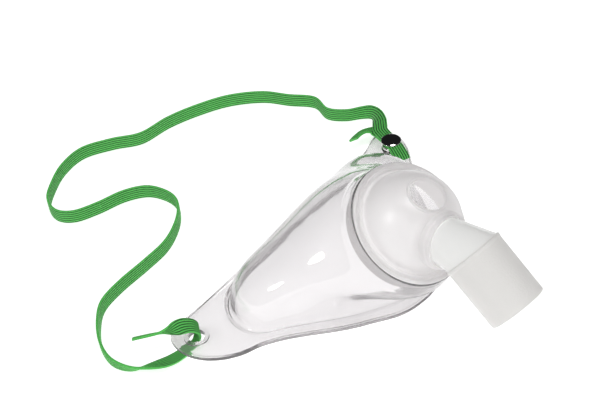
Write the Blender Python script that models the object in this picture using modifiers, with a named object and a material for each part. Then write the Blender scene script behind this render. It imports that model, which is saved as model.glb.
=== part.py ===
"""Tracheostomy mask: clear soft shield, swivelling hood connector and green elastic neck strap.

Metres, +Z up.  The mask lies on the table on its chest edge and its two ear tabs; the strap
lies behind it.  X runs from ear to ear, the hose connector points to -Y.
"""
import math

import bmesh
import bpy
from mathutils import Matrix, Vector

MM = 0.001

# ---------------------------------------------------------------- driving dimensions (mm)
SHEET = 1.5            # wall of the soft shield
GAP = 0.3              # clearance between neighbouring pieces
HOOD_TILT = 38.0       # hood axis, degrees forward of vertical
HOOD_TURN = 20.5       # hood turned in the soft neck, degrees toward -X
NECK_CENTRE = (0.0, 0.0, 30.3)
NECK_RADIUS = 24.9     # outside of the soft neck at its root
NECK_HEIGHT = 7.2
PLUG_RADIUS = 21.9     # hood where it sits in the soft neck
DOME_RADIUS = 19.1
DOME_CENTRE = 7.4      # height of the dome centre above the neck root
HOOD_WALL = 1.3
PORT_RADIUS = 6.7
PORT_AXIS = (-0.05, 0.245, 0.97)   # from the dome centre, in the hood's own directions
PORT_RISE = 18.6       # lip of the port above the dome centre
SOCKET_PLACE = 42.7    # where the socket sits on the dome, degrees from the hood axis
SOCKET_TILT = 38.2     # direction of the socket bore, degrees from the hood axis
SOCKET_OUT = 18.0      # distance of the socket face from the dome centre
SOCKET_RADIUS = 10.6
SOCKET_RISE = 2.8      # front lip of the socket beyond its face
TUBE_RADIUS = 8.9
TUBE_WALL = 1.4
TUBE_LENGTH = 13.7     # from the socket face to the bend
ROUND_PART = 3.5       # straight round part of the tube before it widens to the cone
BEND_RADIUS = 10.7     # the tube where it meets the shoulder of the cone
BEND_BORE = 8.7
INSET = 0.02           # keeps the faces of joined solids from lying in one plane
CONE_BIG = 11.2        # 22 mm male cone at its shoulder
CONE_SMALL = 10.9      # and at its open end
CONE_LENGTH = 24.6
CONE_WALL = 1.5
EAR_HOLE = (-63.7, 48.2)
SNAP = (63.3, 46.7)
EAR_HOLE_RADIUS = 3.1
STRAP_WIDTH = 6.4
STRAP_THICK = 1.1
SNAP_RADIUS = 4.2
FRAME_SHIFT = (0.0, 1.06, -0.09)   # puts the origin under the middle of the mask, on the table

# ---------------------------------------------------------------- clean start
for old in list(bpy.data.objects):
    bpy.data.objects.remove(old, do_unlink=True)
for old in list(bpy.data.collections):
    bpy.data.collections.remove(old)

parts = bpy.data.collections.new("tracheostomy_mask")
bpy.context.scene.collection.children.link(parts)
cutters = bpy.data.collections.new("cutters")
bpy.context.scene.collection.children.link(cutters)


def material(name, colour, roughness, metallic=0.0, alpha=1.0):
    mat = bpy.data.materials.new(name)
    mat.use_nodes = True
    shader = mat.node_tree.nodes["Principled BSDF"]
    shader.inputs["Base Color"].default_value = (colour[0], colour[1], colour[2], 1.0)
    shader.inputs["Roughness"].default_value = roughness
    shader.inputs["Metallic"].default_value = metallic
    shader.inputs["Alpha"].default_value = alpha
    return mat


CLEAR = material("clear_soft_vinyl", (0.93, 0.93, 0.94), 0.12)
FROST = material("frosted_polyethylene", (0.90, 0.90, 0.89), 0.42)
GREEN = material("green_elastic", (0.02, 0.42, 0.12), 0.75)
CHROME = material("polished_nickel", (0.78, 0.78, 0.80), 0.14, 1.0)


def add_object(name, bm, mat):
    bmesh.ops.recalc_face_normals(bm, faces=bm.faces)
    mesh = bpy.data.meshes.new(name)
    bm.to_mesh(mesh)
    bm.free()
    obj = bpy.data.objects.new(name, mesh)
    parts.objects.link(obj)
    mesh.materials.append(mat)
    return obj


def apply_modifiers(obj):
    bpy.context.view_layer.update()
    depsgraph = bpy.context.evaluated_depsgraph_get()
    mesh = bpy.data.meshes.new_from_object(obj.evaluated_get(depsgraph))
    obj.modifiers.clear()
    obj.data = mesh


def boolean(obj, other, operation):
    mod = obj.modifiers.new(operation.lower(), 'BOOLEAN')
    mod.operation = operation
    mod.solver = 'EXACT'
    mod.object = other
    apply_modifiers(obj)


def turned(name, profile, mat, steps=40, home=parts, place=None):
    """Solid turned about local Z.

    The (radius, height) outline in mm runs from the bottom of the axis, out and up to the top
    of the axis; an outline that stays off the axis is closed into a ring.
    """
    bm = bmesh.new()
    verts = [bm.verts.new((radius * MM, 0.0, height * MM)) for radius, height in reversed(profile)]
    for a, b in zip(verts, verts[1:]):
        bm.edges.new((a, b))
    if profile[0][0] > 0.0:
        bm.edges.new((verts[-1], verts[0]))
    mesh = bpy.data.meshes.new(name)
    bm.to_mesh(mesh)
    bm.free()
    obj = bpy.data.objects.new(name, mesh)
    home.objects.link(obj)
    screw = obj.modifiers.new("turn", 'SCREW')
    screw.axis = 'Z'
    screw.steps = steps
    screw.render_steps = steps
    screw.use_merge_vertices = True
    screw.merge_threshold = 0.00001
    apply_modifiers(obj)
    bm = bmesh.new()
    bm.from_mesh(obj.data)
    bmesh.ops.recalc_face_normals(bm, faces=bm.faces)
    bm.to_mesh(obj.data)
    bm.free()
    if mat is not None:
        obj.data.materials.append(mat)
    if home is cutters:
        obj.hide_render = True
        obj.display_type = 'WIRE'
    if place is not None:
        obj.matrix_world = place
    return obj


def frame_at(origin, axis):
    """Local frame with +Z along axis; origin in mm."""
    rotation = Vector(axis).normalized().to_track_quat('Z', 'Y').to_matrix().to_4x4()
    return Matrix.Translation(Vector(origin) * MM) @ rotation


def spline(points, count, closed=False):
    """Catmull-Rom curve through the points, evenly spaced along its length."""
    pts = [Vector(p) for p in points]
    n = len(pts)
    dense = []
    spans = n if closed else n - 1
    for i in range(spans):
        if closed:
            a, b, c, d = pts[i - 1], pts[i], pts[(i + 1) % n], pts[(i + 2) % n]
        else:
            a = pts[i - 1] if i > 0 else pts[i] * 2 - pts[i + 1]
            b, c = pts[i], pts[i + 1]
            d = pts[i + 2] if i + 2 < n else pts[i + 1] * 2 - pts[i]
        for s in range(24):
            t = s / 24
            dense.append(0.5 * ((2 * b) + (c - a) * t + (2 * a - 5 * b + 4 * c - d) * t * t
                                + (3 * b - a - 3 * c + d) * t ** 3))
    dense.append(pts[0].copy() if closed else pts[-1].copy())
    lengths = [0.0]
    for p, q in zip(dense, dense[1:]):
        lengths.append(lengths[-1] + (q - p).length)
    total = lengths[-1]
    out = []
    j = 0
    steps = count if closed else count - 1
    for k in range(count):
        target = total * k / steps
        while j < len(lengths) - 2 and lengths[j + 1] < target:
            j += 1
        span = max(lengths[j + 1] - lengths[j], 1e-12)
        f = min(max((target - lengths[j]) / span, 0.0), 1.0)
        out.append(dense[j].lerp(dense[j + 1], f))
    return out


# ---------------------------------------------------------------- the soft shield
# Half outlines of the shield seen from above, (x, y, height of the upper face); chest edge first.
# The right ear tab is drawn in by the strap, so the edge has a list for each side.
EDGE_RIGHT = [(0, -10.8, 1.6), (5.5, -11.0, 1.7), (10.4, -11.0, 1.7), (15.4, -10.0, 1.9),
              (22.6, -5.6, 2.2), (28.4, -0.2, 2.5), (34, 6.4, 2.8), (40, 13.2, 3.1),
              (46.5, 20.6, 3.3), (52.5, 27.2, 3.4), (57.8, 32.4, 3.4), (63.2, 37.0, 3.4),
              (67.8, 41.4, 3.4), (70.9, 46.2, 3.4), (71.8, 51.4, 3.4), (69.6, 56.2, 3.4),
              (65.0, 57.5, 3.4), (57.2, 55.6, 3.4), (47.5, 54.6, 3.6), (39, 55.0, 4.4),
              (30, 54.2, 6.0), (20, 53.0, 8.0), (10, 52.2, 9.6), (0, 52.0, 10.2)]
EDGE_LEFT = [(-10, 52.2, 9.6), (-20, 53.2, 8.0), (-30, 54.8, 6.0), (-39, 56.2, 4.4),
             (-47, 57.0, 3.6), (-56, 57.6, 3.4), (-64.0, 58.4, 3.4), (-68.8, 56.2, 3.4),
             (-71.4, 50.8, 3.4), (-71.6, 44.6, 3.4), (-69.6, 38.8, 3.4), (-65.6, 33.4, 3.4),
             (-60, 29.0, 3.4), (-53.4, 25.9, 3.4), (-46.2, 20.7, 3.3), (-39.2, 14.3, 3.1),
             (-33, 8.2, 2.8), (-27, 3.0, 2.5), (-20.9, -1.4, 2.2), (-13.8, -6.6, 1.9),
             (-7.4, -9.4, 1.7)]
CREASE_HALF = [(0, -4.4, 2.8), (8, -2.4, 2.9), (15, 1.4, 3.1), (24, 7.4, 3.5), (32.5, 14.8, 3.9),
               (41.4, 22.8, 4.1), (46.4, 26.8, 4.3), (49.4, 30.6, 4.4), (50.4, 35.6, 4.4),
               (49.2, 41.2, 4.5), (46.2, 45.8, 4.8), (41.0, 49.6, 5.4), (34, 50.8, 6.6),
               (24, 50.0, 8.6), (12, 49.0, 10.4), (0, 48.8, 11.0)]
SHIELD_STEPS = 84
SPOKE_CENTRE = (0.0, 22.0)


def ray_point(outline, angle):
    """Where the spoke at this angle from the spoke centre meets the outline."""
    dx, dy = math.cos(angle), math.sin(angle)
    best = None
    for a, b in zip(outline, outline[1:] + outline[:1]):
        ax, ay = a.x - SPOKE_CENTRE[0], a.y - SPOKE_CENTRE[1]
        bx, by = b.x - SPOKE_CENTRE[0], b.y - SPOKE_CENTRE[1]
        ca, cb = ax * dy - ay * dx, bx * dy - by * dx
        if ca * cb > 0 or ca == cb:
            continue
        f = ca / (ca - cb)
        point = a.lerp(b, f)
        reach = (point.x - SPOKE_CENTRE[0]) * dx + (point.y - SPOKE_CENTRE[1]) * dy
        if reach > 0 and (best is None or reach > best[0]):
            best = (reach, point)
    return best[1]


tilt = Matrix.Rotation(math.radians(HOOD_TILT), 4, 'X')
hood_axis = tilt @ Vector((0, 0, 1))
neck_centre = Vector(NECK_CENTRE)


def neck_point(angle, radius, height):
    local = Vector((radius * math.cos(angle), radius * math.sin(angle), height))
    return neck_centre + tilt @ local


crease_left = [(-x, y, z) for x, y, z in reversed(CREASE_HALF[1:-1])]
edge_points = spline(EDGE_RIGHT + EDGE_LEFT, SHIELD_STEPS, closed=True)
crease_curve = spline(CREASE_HALF + crease_left, 400, closed=True)
NECK_PROFILE = [(NECK_RADIUS, 0.0), (24.6, 1.6), (24.0, NECK_HEIGHT - 0.6), (23.6, NECK_HEIGHT)]
DOME_STEPS = (0.13, 0.3, 0.52, 0.76)

columns = []
for edge in edge_points:
    angle = math.atan2(edge.y - SPOKE_CENTRE[1], edge.x - SPOKE_CENTRE[0])
    crease = ray_point(crease_curve, angle)
    foot = crease + (edge - crease).normalized() * min(3.2, 0.45 * (edge - crease).length)
    foot.z = edge.z
    column = [edge, edge.lerp(foot, 0.5), foot, crease]
    root = neck_point(angle, *NECK_PROFILE[0])
    outward = (neck_point(angle, 1.0, 0.0) - neck_centre).normalized()
    span = (root - crease).length
    back = max(math.sin(angle), 0.0)
    p1 = crease + Vector((0, 0, (0.46 - 0.14 * back) * span))
    p2 = root - hood_axis * ((0.30 - 0.08 * back) * span) + outward * (0.10 * span)
    for t in DOME_STEPS:
        u = 1 - t
        column.append(crease * u ** 3 + p1 * (3 * u * u * t) + p2 * (3 * u * t * t) + root * t ** 3)
    for radius, height in NECK_PROFILE:
        column.append(neck_point(angle, radius, height))
    columns.append(column)

bm = bmesh.new()
grid = [[bm.verts.new(p * MM) for p in column] for column in columns]
for a, b in zip(grid, grid[1:] + grid[:1]):
    for k in range(len(a) - 1):
        bm.faces.new((a[k], b[k], b[k + 1], a[k + 1]))
mask_body = add_object("mask_body", bm, CLEAR)
thick = mask_body.modifiers.new("sheet", 'SOLIDIFY')
thick.thickness = SHEET * MM
thick.offset = -1.0
thick.use_even_offset = True
apply_modifiers(mask_body)

for x, y in (EAR_HOLE, SNAP):
    hole = turned("ear_hole_cutter", [(0, 0), (EAR_HOLE_RADIUS, 0), (EAR_HOLE_RADIUS, 12), (0, 12)],
                  None, 32, cutters, Matrix.Translation(Vector((x, y, -2)) * MM))
    boolean(mask_body, hole, 'DIFFERENCE')

# ---------------------------------------------------------------- the hood
hood_place = Matrix.Translation(neck_centre * MM) @ tilt @ Matrix.Rotation(math.radians(-HOOD_TURN), 4, 'Z')


def dome_profile(radius, plug, bottom, shoulder, count):
    """Outline of a domed plug, closed on the axis."""
    points = [(0, bottom), (plug, bottom), (plug, shoulder - 0.4), (plug - 0.4, shoulder)]
    start = math.asin(min((shoulder - DOME_CENTRE) / radius, 1.0))
    for k in range(count + 1):
        a = start + (math.pi / 2 - start) * k / count
        points.append((radius * math.cos(a) if k < count else 0.0, DOME_CENTRE + radius * math.sin(a)))
    return points


def direction(tilt_degrees):
    a = math.radians(tilt_degrees)
    return Vector((0, -math.sin(a), math.cos(a)))


dome_centre = Vector((0, 0, DOME_CENTRE))
socket_face = dome_centre + direction(SOCKET_PLACE) * SOCKET_OUT
socket_axis = direction(SOCKET_TILT)
port_axis = Vector(PORT_AXIS).normalized()

socket_place = hood_place @ frame_at(socket_face, socket_axis)
port_place = hood_place @ frame_at(dome_centre, port_axis)
hood = turned("hood", dome_profile(DOME_RADIUS, PLUG_RADIUS, 0.6, 8.8, 9), FROST, 48, parts, hood_place)
collar_profile = [(0, -7), (SOCKET_RADIUS - 0.3, -7), (SOCKET_RADIUS, 0.2), (SOCKET_RADIUS - 0.3, 1.4),
                  (SOCKET_RADIUS - 0.9, 2.3), (SOCKET_RADIUS - 1.3, SOCKET_RISE), (0, SOCKET_RISE)]
collar = turned("collar_blank", collar_profile, None, 40, cutters, socket_place)
boolean(hood, collar, 'UNION')
lip_profile = [(0, 14), (PORT_RADIUS + 1.1, 14), (PORT_RADIUS + 1.1, PORT_RISE - 0.4),
               (PORT_RADIUS + 0.7, PORT_RISE), (0, PORT_RISE)]
lip = turned("port_lip_blank", lip_profile, None, 32, cutters, port_place)
boolean(hood, lip, 'UNION')
inner_profile = dome_profile(DOME_RADIUS - HOOD_WALL, PLUG_RADIUS - HOOD_WALL - 0.2, -2, 8.0, 8)
inner = turned("hood_cavity", inner_profile, None, 32, cutters, hood_place)
boolean(hood, inner, 'DIFFERENCE')
bore_radius = TUBE_RADIUS + GAP
sleeve_profile = [(bore_radius, -5.0), (SOCKET_RADIUS - 0.5, -5.0), (SOCKET_RADIUS - 0.5, 1.0),
                  (bore_radius, 1.0)]
sleeve = turned("socket_sleeve", sleeve_profile, None, 40, cutters, socket_place)
boolean(hood, sleeve, 'UNION')
bore_profile = [(0, -9), (bore_radius, -9), (bore_radius, 6), (0, 6)]
bore = turned("socket_bore", bore_profile, None, 40, cutters, socket_place)
boolean(hood, bore, 'DIFFERENCE')
port_profile = [(0, 13), (PORT_RADIUS, 13), (PORT_RADIUS, 26), (0, 26)]
port = turned("suction_port_bore", port_profile, None, 32, cutters, port_place)
boolean(hood, port, 'DIFFERENCE')

# ---------------------------------------------------------------- the swivel elbow
bend = (socket_place @ Vector((0, 0, TUBE_LENGTH * MM))) / MM
tube_dir = (socket_place.to_3x3() @ Vector((0, 0, 1))).normalized()
cone_dir = tilt.to_3x3() @ Vector((-0.109, -0.993, 0.037)).normalized()
cone_place = frame_at(bend, cone_dir)
bend_normal = tube_dir.cross(cone_dir).normalized()


def circle(centre, axis, radius, steps=40):
    """Points of a circle in mm, starting on the common normal of the tube and the cone."""
    across = axis.cross(bend_normal)
    return [centre + (bend_normal * math.cos(2 * math.pi * k / steps)
                      + across * math.sin(2 * math.pi * k / steps)) * radius for k in range(steps)]


def loft(name, low, high):
    """Closed solid between two circles that lie in different planes."""
    bm = bmesh.new()
    a = [bm.verts.new(p * MM) for p in low]
    b = [bm.verts.new(p * MM) for p in high]
    for k in range(len(a)):
        n = (k + 1) % len(a)
        bm.faces.new((a[k], a[n], b[n]))
        bm.faces.new((a[k], b[n], b[k]))
    bm.faces.new(list(reversed(a)))
    bm.faces.new(b)
    obj = add_object(name, bm, FROST)
    parts.objects.unlink(obj)
    cutters.objects.link(obj)
    obj.hide_render = True
    obj.display_type = 'WIRE'
    return obj


tube_profile = [(0, -6.6), (TUBE_RADIUS + 0.4, -6.6), (TUBE_RADIUS + 0.6, -6.0), (TUBE_RADIUS, -5.4),
                (TUBE_RADIUS, ROUND_PART + 0.1), (0, ROUND_PART + 0.1)]
swivel_elbow = turned("swivel_elbow", tube_profile, FROST, 40, parts, socket_place)
widening = loft("bend_outer",
                circle(bend - tube_dir * (TUBE_LENGTH - ROUND_PART), tube_dir, TUBE_RADIUS - INSET),
                circle(bend + cone_dir * 0.25, cone_dir, BEND_RADIUS))
boolean(swivel_elbow, widening, 'UNION')
cone_profile = [(0, 0), (CONE_BIG - 0.5, 0), (CONE_BIG, 0.5), (CONE_BIG, 1.2), (CONE_BIG - 0.15, 1.4),
                (CONE_SMALL, CONE_LENGTH - 0.8), (CONE_SMALL - 0.3, CONE_LENGTH - 0.2),
                (CONE_SMALL - 0.8, CONE_LENGTH), (0, CONE_LENGTH)]
cone = turned("cone_blank", cone_profile, None, 40, cutters, cone_place)
boolean(swivel_elbow, cone, 'UNION')
tube_bore = TUBE_RADIUS - TUBE_WALL
bore_end = 0.7
hollow_profile = [(0, -9), (tube_bore, -9), (tube_bore, bore_end + 0.1), (0, bore_end + 0.1)]
hollow = turned("tube_bore", hollow_profile, None, 40, cutters, socket_place)
boolean(swivel_elbow, hollow, 'DIFFERENCE')
hollow_bend = loft("bend_inner",
                   circle(bend - tube_dir * (TUBE_LENGTH - bore_end), tube_dir, tube_bore - INSET),
                   circle(bend - cone_dir * 0.3, cone_dir, BEND_BORE))
boolean(swivel_elbow, hollow_bend, 'DIFFERENCE')
cone_bore = CONE_SMALL - CONE_WALL
hollow_profile = [(0, -0.35), (BEND_BORE - INSET, -0.35), (BEND_BORE - INSET, CONE_WALL),
                  (cone_bore, CONE_WALL), (cone_bore, CONE_LENGTH + 3), (0, CONE_LENGTH + 3)]
hollow_cone = turned("cone_bore", hollow_profile, None, 40, cutters, cone_place)
boolean(swivel_elbow, hollow_cone, 'DIFFERENCE')

# ---------------------------------------------------------------- the press stud on the right ear
snap_place = Matrix.Translation(Vector((SNAP[0], SNAP[1], 0.0)) * MM)
POST = [(0, 0.8), (3.4, 0.8), (3.7, 1.1), (3.7, 1.3), (3.2, 1.6), (1.2, 1.6), (1.2, 4.4), (1.0, 4.7),
        (0, 4.7)]
STUD = [(1.5, 3.7), (3.8, 3.7), (4.2, 3.85), (4.2, 4.0), (3.8, 4.15), (1.8, 4.15), (1.8, 4.4),
        (2.05, 4.7), (2.05, 5.0), (1.7, 5.3), (1.5, 5.3)]
SOCKET = [(0, 5.6), (2.35, 5.6), (2.35, 4.45), (3.5, 4.45), (3.8, 4.7), (3.8, 5.6), (3.5, 5.9), (0, 5.9)]
CAP = [(0, 6.2), (1.2, 6.2), (1.2, 8.0), (SNAP_RADIUS, 8.0), (SNAP_RADIUS + 0.1, 8.2),
       (SNAP_RADIUS - 0.2, 8.55), (3.2, 8.85), (1.8, 9.05), (0, 9.1)]
turned("snap_post", POST, CHROME, 36, parts, snap_place)
turned("snap_stud", STUD, CHROME, 36, parts, snap_place)
snap_socket = turned("snap_socket", SOCKET, CHROME, 36, parts, snap_place)
snap_cap = turned("snap_cap", CAP, CHROME, 36, parts, snap_place)


# ---------------------------------------------------------------- the elastic strap
def ribbon(name, stations, count, mat):
    """Flat band through stations (x, y, z, width, thickness, lean).

    lean 0 stands the band on its edge, lean 90 lays it flat.
    """
    guide = [Vector(s[:3]) for s in stations]
    path = spline(guide, count)
    cuts = [0.0]
    for p, q in zip(guide, guide[1:]):
        cuts.append(cuts[-1] + (q - p).length)
    last_wide = Vector((0, 0, 1))
    sizes = []
    for i, point in enumerate(path):
        along = (path[min(i + 1, count - 1)] - path[max(i - 1, 0)]).normalized()
        where = cuts[-1] * i / (count - 1)
        j = max(k for k in range(len(cuts) - 1) if cuts[k] <= where + 1e-9)
        f = min((where - cuts[j]) / (cuts[j + 1] - cuts[j]), 1.0)
        width, thickness, lean = (stations[j][k] * (1 - f) + stations[j + 1][k] * f for k in (3, 4, 5))
        side = along.cross(Vector((0, 0, 1)))
        wide = last_wide
        if side.length > 0.35:
            side.normalize()
            lean = math.radians(lean)
            wide = side.cross(along).normalized() * math.cos(lean) + side * math.sin(lean)
        if wide.dot(last_wide) < 0:
            wide = -wide
        last_wide = wide
        sizes.append((along, wide, width, thickness))
    bm = bmesh.new()
    rings = []
    for i, point in enumerate(path):
        along, wide, width, thickness = sizes[i]
        near = sizes[max(i - 1, 0)][1] + wide + sizes[min(i + 1, count - 1)][1]
        wide = (near - along * near.dot(along)).normalized()
        thin = wide.cross(along).normalized()
        ring = []
        for a, b in ((-1, -1), (1, -1), (1, 1), (-1, 1)):
            ring.append(bm.verts.new((point + wide * (a * width / 2) + thin * (b * thickness / 2)) * MM))
        rings.append(ring)
    for a, b in zip(rings, rings[1:]):
        for k in range(4):
            n = (k + 1) % 4
            bm.faces.new((a[k], a[n], b[n], b[k]))
    bm.faces.new(rings[0])
    bm.faces.new(list(reversed(rings[-1])))
    return add_object(name, bm, mat)


W = STRAP_WIDTH
T = STRAP_THICK
TABLE = W / 2 + GAP
# flat on the press stud, then down on to its edge on the table, one loose S, and up through the left ear
RUN = [(66.9, 54.2, 7.3, W, T, 90), (69.8, 56.8, 7.6, W, T, 86), (72.6, 59.0, 7.4, W, T, 70),
       (76.2, 63.0, 6.2, W, T, 35), (78.3, 67.4, 4.7, W, T, 8), (77.0, 71.8, TABLE, W, T, 0),
       (71.9, 76.9, TABLE, W, T, 0), (69.0, 84.5, TABLE, W, T, 0), (72.5, 94.0, TABLE, W, T, 0),
       (68.0, 105.0, TABLE, W, T, 0), (63.5, 117.0, TABLE, W, T, 0), (53.5, 128.5, TABLE, W, T, 0),
       (40.5, 136.5, TABLE, W, T, 0), (27.0, 142.0, TABLE, W, T, 0), (12.5, 145.0, TABLE, W, T, 0),
       (2.5, 153.5, TABLE, W, T, 0), (-9.0, 160.5, TABLE, W, T, 0), (-21.5, 160.0, TABLE, W, T, 0),
       (-33.0, 155.0, TABLE, W, T, 0), (-40.5, 149.5, TABLE, W, T, 0), (-43.8, 141.5, TABLE, W, T, 0),
       (-40.5, 134.5, TABLE, W, T, 0), (-31.5, 129.5, TABLE, W, T, 0), (-20.5, 125.3, TABLE, W, T, 0),
       (-13.0, 119.2, TABLE, W, T, 0), (-10.6, 111.5, TABLE, W, T, 0), (-11.5, 104.0, TABLE, W, T, 0),
       (-16.0, 98.2, TABLE, W, T, 0), (-24.0, 93.2, TABLE, W, T, 0), (-34.0, 90.0, TABLE, W, T, 0),
       (-46.0, 89.8, TABLE, W, T, 0), (-60.0, 90.3, TABLE, W, T, 0), (-71.0, 89.0, TABLE, W, T, 0),
       (-79.0, 83.8, TABLE, W, T, 0), (-86.0, 76.0, TABLE, W, T, 0), (-89.8, 67.0, TABLE, W, T, 8),
       (-88.4, 59.0, TABLE - 0.3, W, T, 25), (-83.0, 53.6, 2.6, 6.2, T, 60),
       (-76.5, 50.6, 1.15, 5.2, 1.0, 90),
       (-69.6, 48.8, 0.9, 4.4, 1.0, 90), (-66.6, 48.4, 0.95, 4.0, 1.0, 90), (-64.5, 48.2, 1.5, 3.8, 1.0, 90)]
THROUGH = [(-63.5, 48.2, 2.9, 3.8, 1.0, 90), (-62.8, 47.8, 5.0, 4.6, T, 90), (-62.7, 48.0, 7.2, 5.6, T, 90),
           (-63.8, 49.5, 8.8, 6.0, T, 88), (-65.8, 51.9, 9.1, 6.0, T, 75), (-67.9, 53.8, 8.7, 5.8, T, 30),
           (-69.8, 55.4, 8.2, 5.6, T, -30), (-72.5, 58.1, 7.8, 5.6, T, -46), (-76.0, 61.5, 7.5, 5.6, T, -48),
           (-79.6, 64.9, 7.2, 5.6, T, -48)]
strap_run = ribbon("strap_run", RUN + THROUGH, 104, GREEN)

DOUBLED = 1.7
END = [(58.6, 37.8, 5.3, W, DOUBLED, 90), (59.9, 40.2, 6.4, W, DOUBLED, 90),
       (61.5, 43.2, 7.05, W, DOUBLED, 90), (SNAP[0], SNAP[1], 7.05, W, DOUBLED, 90),
       (66.0, 52.6, 7.05, W, DOUBLED, 90)]
strap_end = ribbon("strap_end", END, 18, GREEN)
TAIL = [(57.9, 62.6, 5.4, W, T, 48), (61.3, 62.4, 5.7, W, T, 50), (64.9, 61.4, 5.6, W, T, 60),
        (67.8, 58.4, 5.3, W, T, 84), (67.9, 56.6, 5.7, W, 0.9, 90), (68.0, 55.8, 6.6, W, 0.9, 90),
        (68.2, 55.6, 7.2, W, 0.9, 90)]
tail = ribbon("strap_tail", TAIL, 20, GREEN)
boolean(strap_run, tail, 'UNION')
parts.objects.unlink(tail)
cutters.objects.link(tail)
tail.hide_render = True
tail.display_type = 'WIRE'
strap_hole = turned("strap_hole", [(0, 4), (1.5, 4), (1.5, 12), (0, 12)], None, 24, cutters, snap_place)
boolean(strap_end, strap_hole, 'DIFFERENCE')

# the cap, its socket and the strap end lift off together, straight up from the ear
snap_joint = bpy.data.objects.new("snap_joint", None)
parts.objects.link(snap_joint)
snap_joint.matrix_world = snap_place
for piece in (snap_cap, snap_socket, strap_end):
    piece.parent = snap_joint
    piece.matrix_parent_inverse = snap_place.inverted()

mask_frame = bpy.data.objects.new("mask_frame", None)
for obj in parts.objects:
    if obj.parent is None:
        obj.parent = mask_frame
parts.objects.link(mask_frame)
mask_frame.location = Vector(FRAME_SHIFT) * MM

for obj in parts.objects:
    if obj.type == 'MESH':
        obj.data.shade_smooth()
        obj.data.set_sharp_from_angle(angle=math.radians(35))
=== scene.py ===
"""Looks for the tracheostomy mask: clear soft shield, frosted hood and elbow, press stud, elastic strap.

Lists are in millimetres in the part's own drawing frame; place() turns them into the row frame.
"""
import math

import bmesh
import bpy
import numpy as np
from mathutils import Matrix, Vector


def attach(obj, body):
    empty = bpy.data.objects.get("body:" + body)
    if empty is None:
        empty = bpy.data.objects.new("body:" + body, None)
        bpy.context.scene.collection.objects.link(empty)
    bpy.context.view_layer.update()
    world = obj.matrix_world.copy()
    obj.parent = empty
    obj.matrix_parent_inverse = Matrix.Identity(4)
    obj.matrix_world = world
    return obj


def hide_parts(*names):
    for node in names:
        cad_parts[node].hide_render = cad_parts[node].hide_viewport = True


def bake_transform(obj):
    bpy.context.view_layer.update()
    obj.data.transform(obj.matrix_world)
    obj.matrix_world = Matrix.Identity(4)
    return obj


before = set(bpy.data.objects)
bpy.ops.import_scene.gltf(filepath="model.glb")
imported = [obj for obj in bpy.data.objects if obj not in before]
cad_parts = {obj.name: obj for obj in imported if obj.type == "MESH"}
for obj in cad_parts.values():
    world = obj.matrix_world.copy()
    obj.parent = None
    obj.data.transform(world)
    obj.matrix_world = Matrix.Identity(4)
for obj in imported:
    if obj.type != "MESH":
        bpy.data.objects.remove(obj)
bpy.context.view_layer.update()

MM = 0.001
FRAME_SHIFT = Vector((0.0, 1.06, -0.09))
UP = Vector((0, 0, 1))
scene = bpy.context.scene


def place(point):
    """A drawing point in mm, in the row frame in metres."""
    return (Vector(point) + FRAME_SHIFT) * MM


# ---------------------------------------------------------------- camera
CAMERA_PLACE = Vector((-0.2687, -0.1859, 0.3413))
CAMERA_RIGHT = Vector((0.5962, -0.7987, -0.0816))
CAMERA_UP = Vector((0.5723, 0.3516, 0.7408))
CAMERA_BACK = Vector((-0.5630, -0.4884, 0.6667))
camera_data = bpy.data.cameras.new("photo_camera")
camera_data.lens = 74.25
camera_data.sensor_width = 36.0
camera_data.clip_start = 0.02
camera_data.clip_end = 20.0
camera = bpy.data.objects.new("photo_camera", camera_data)
scene.collection.objects.link(camera)
turn = Matrix((CAMERA_RIGHT, CAMERA_UP, CAMERA_BACK)).transposed()
camera.matrix_world = Matrix.Translation(CAMERA_PLACE) @ turn.to_quaternion().to_matrix().to_4x4()
scene.camera = camera
scene.view_settings.view_transform = 'Standard'
scene.cycles.transparent_max_bounces = 24
scene.cycles.transmission_bounces = 16
scene.cycles.max_bounces = 20
scene.cycles.use_denoising = True


# ---------------------------------------------------------------- node materials
class Nodes:
    """A small helper for building one material's nodes."""

    def __init__(self, name):
        self.material = bpy.data.materials.new(name)
        self.material.use_nodes = True
        self.tree = self.material.node_tree
        self.shader = self.tree.nodes["Principled BSDF"]
        self.output = self.tree.nodes["Material Output"]

    def add(self, kind, **values):
        node = self.tree.nodes.new(kind)
        for key, value in values.items():
            if key in node.inputs:
                node.inputs[key].default_value = value
            else:
                setattr(node, key, value)
        return node

    def link(self, a, out, b, into):
        self.tree.links.new(a.outputs[out], b.inputs[into])

    def set(self, **values):
        for key, value in values.items():
            self.shader.inputs[key.replace("_", " ")].default_value = value


def lets_lamps_through(nodes, shade):
    """Light from the lamps passes straight through the clear plastic, dimmed by shade."""
    path = nodes.add("ShaderNodeLightPath")
    clear = nodes.add("ShaderNodeBsdfTransparent")
    clear.inputs["Color"].default_value = (shade, shade, shade, 1)
    mix = nodes.add("ShaderNodeMixShader")
    nodes.link(path, "Is Shadow Ray", mix, 0)
    nodes.tree.links.new(nodes.shader.outputs[0], mix.inputs[1])
    nodes.tree.links.new(clear.outputs[0], mix.inputs[2])
    nodes.tree.links.new(mix.outputs[0], nodes.output.inputs["Surface"])


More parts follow.
